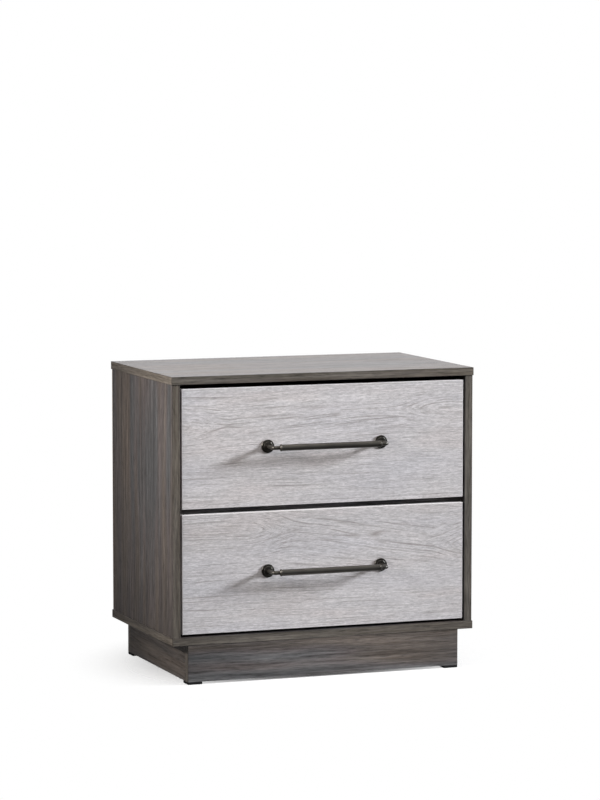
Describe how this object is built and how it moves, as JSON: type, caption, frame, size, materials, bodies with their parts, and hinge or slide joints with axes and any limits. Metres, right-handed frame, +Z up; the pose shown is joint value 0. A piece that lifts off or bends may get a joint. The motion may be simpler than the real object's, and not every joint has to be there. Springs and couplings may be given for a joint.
{
  "type": "nightstand",
  "caption": "Low nightstand with stacked full-width drawers on ball-bearing slides, dark bar handles, a flat top and a recessed plinth on small square glides.",
  "frame": {"origin": "on the floor, at the centre of the footprint with the handles included", "axes": "+Z up; +X to the right of a person facing the drawers; the drawers open towards -Y"},
  "size_m": [0.597, 0.4046, 0.568],
  "materials": {
    "carcass_laminate": "dark grey-brown wood-grain laminate, satin",
    "drawer_front_laminate": "whitewashed oak wood-grain laminate, matte",
    "drawer_box_board": "pale grey paper-foil board, matte",
    "hardboard": "plain brown hardboard, smooth face",
    "corner_block_wood": "sawn pine",
    "beech_dowel": "bare beech",
    "handle_bronze": "dark bronze, satin",
    "slide_steel": "zinc-plated pressed steel",
    "zinc_fittings": "zinc-plated",
    "glide_plastic": "black, matte"
  },
  "bodies": {
    "cabinet": {"back_panel": "hardboard", "back_panel_nails": "zinc_fittings", "bottom_panel": "carcass_laminate", "cabinet_slide_screws": "zinc_fittings", "carcass_cam_bolts": "zinc_fittings", "carcass_cam_locks": "zinc_fittings", "carcass_dowels": "beech_dowel", "drawer_rail": "carcass_laminate", "foot_glide_back_left": "glide_plastic", "foot_glide_back_right": "glide_plastic", "foot_glide_front_left": "glide_plastic", "foot_glide_front_right": "glide_plastic", "left_side_panel": "carcass_laminate", "lower_left_slide_cabinet_rail": "slide_steel", "lower_right_slide_cabinet_rail": "slide_steel", "plinth_back": "carcass_laminate", "plinth_corner_blocks": "corner_block_wood", "plinth_front": "carcass_laminate", "plinth_left": "carcass_laminate", "plinth_right": "carcass_laminate", "right_side_panel": "carcass_laminate", "top_panel": "carcass_laminate", "upper_left_slide_cabinet_rail": "slide_steel", "upper_right_slide_cabinet_rail": "slide_steel"},
    "lower_drawer": {"lower_drawer_back": "drawer_box_board", "lower_drawer_bottom": "hardboard", "lower_drawer_cam_fittings": "zinc_fittings", "lower_drawer_front": "drawer_front_laminate", "lower_drawer_left_side": "drawer_box_board", "lower_drawer_right_side": "drawer_box_board", "lower_handle_bar": "handle_bronze", "lower_handle_left_post": "handle_bronze", "lower_handle_right_post": "handle_bronze", "lower_handle_rosettes": "handle_bronze", "lower_handle_screws": "zinc_fittings", "lower_left_slide_drawer_rail": "slide_steel", "lower_right_slide_drawer_rail": "slide_steel", "lower_slide_box_screws": "zinc_fittings"},
    "lower_middle_rails": {"lower_left_slide_middle_rail": "slide_steel", "lower_right_slide_middle_rail": "slide_steel"},
    "lower_inner_ball_cages": {"lower_slide_inner_ball_cages": "slide_steel"},
    "lower_outer_ball_cages": {"lower_slide_outer_ball_cages": "slide_steel"},
    "upper_drawer": {"upper_drawer_back": "drawer_box_board", "upper_drawer_bottom": "hardboard", "upper_drawer_cam_fittings": "zinc_fittings", "upper_drawer_front": "drawer_front_laminate", "upper_drawer_left_side": "drawer_box_board", "upper_drawer_right_side": "drawer_box_board", "upper_handle_bar": "handle_bronze", "upper_handle_left_post": "handle_bronze", "upper_handle_right_post": "handle_bronze", "upper_handle_rosettes": "handle_bronze", "upper_handle_screws": "zinc_fittings", "upper_left_slide_drawer_rail": "slide_steel", "upper_right_slide_drawer_rail": "slide_steel", "upper_slide_box_screws": "zinc_fittings"},
    "upper_middle_rails": {"upper_left_slide_middle_rail": "slide_steel", "upper_right_slide_middle_rail": "slide_steel"},
    "upper_inner_ball_cages": {"upper_slide_inner_ball_cages": "slide_steel"},
    "upper_outer_ball_cages": {"upper_slide_outer_ball_cages": "slide_steel"}
  },
  "joints": [
    {"name": "upper_drawer_slide", "type": "slide", "parent": "cabinet", "child": "upper_drawer", "axis": [0, -1, 0], "range_m": [0, 0.3]},
    {"name": "upper_middle_rails_slide", "type": "slide", "parent": "cabinet", "child": "upper_middle_rails", "axis": [0, -1, 0], "range_m": [0, 0.15]},
    {"name": "upper_outer_ball_cages_slide", "type": "slide", "parent": "cabinet", "child": "upper_outer_ball_cages", "axis": [0, -1, 0], "range_m": [0, 0.075]},
    {"name": "upper_inner_ball_cages_slide", "type": "slide", "parent": "cabinet", "child": "upper_inner_ball_cages", "axis": [0, -1, 0], "range_m": [0, 0.225]},
    {"name": "lower_drawer_slide", "type": "slide", "parent": "cabinet", "child": "lower_drawer", "axis": [0, -1, 0], "range_m": [0, 0.3]},
    {"name": "lower_middle_rails_slide", "type": "slide", "parent": "cabinet", "child": "lower_middle_rails", "axis": [0, -1, 0], "range_m": [0, 0.15]},
    {"name": "lower_outer_ball_cages_slide", "type": "slide", "parent": "cabinet", "child": "lower_outer_ball_cages", "axis": [0, -1, 0], "range_m": [0, 0.075]},
    {"name": "lower_inner_ball_cages_slide", "type": "slide", "parent": "cabinet", "child": "lower_inner_ball_cages", "axis": [0, -1, 0], "range_m": [0, 0.225]}
  ],
  "couplings": [
    {"joint": "upper_middle_rails_slide", "follows": "upper_drawer_slide", "ratio": 0.5},
    {"joint": "upper_outer_ball_cages_slide", "follows": "upper_drawer_slide", "ratio": 0.25},
    {"joint": "upper_inner_ball_cages_slide", "follows": "upper_drawer_slide", "ratio": 0.75},
    {"joint": "lower_middle_rails_slide", "follows": "lower_drawer_slide", "ratio": 0.5},
    {"joint": "lower_outer_ball_cages_slide", "follows": "lower_drawer_slide", "ratio": 0.25},
    {"joint": "lower_inner_ball_cages_slide", "follows": "lower_drawer_slide", "ratio": 0.75}
  ]
}
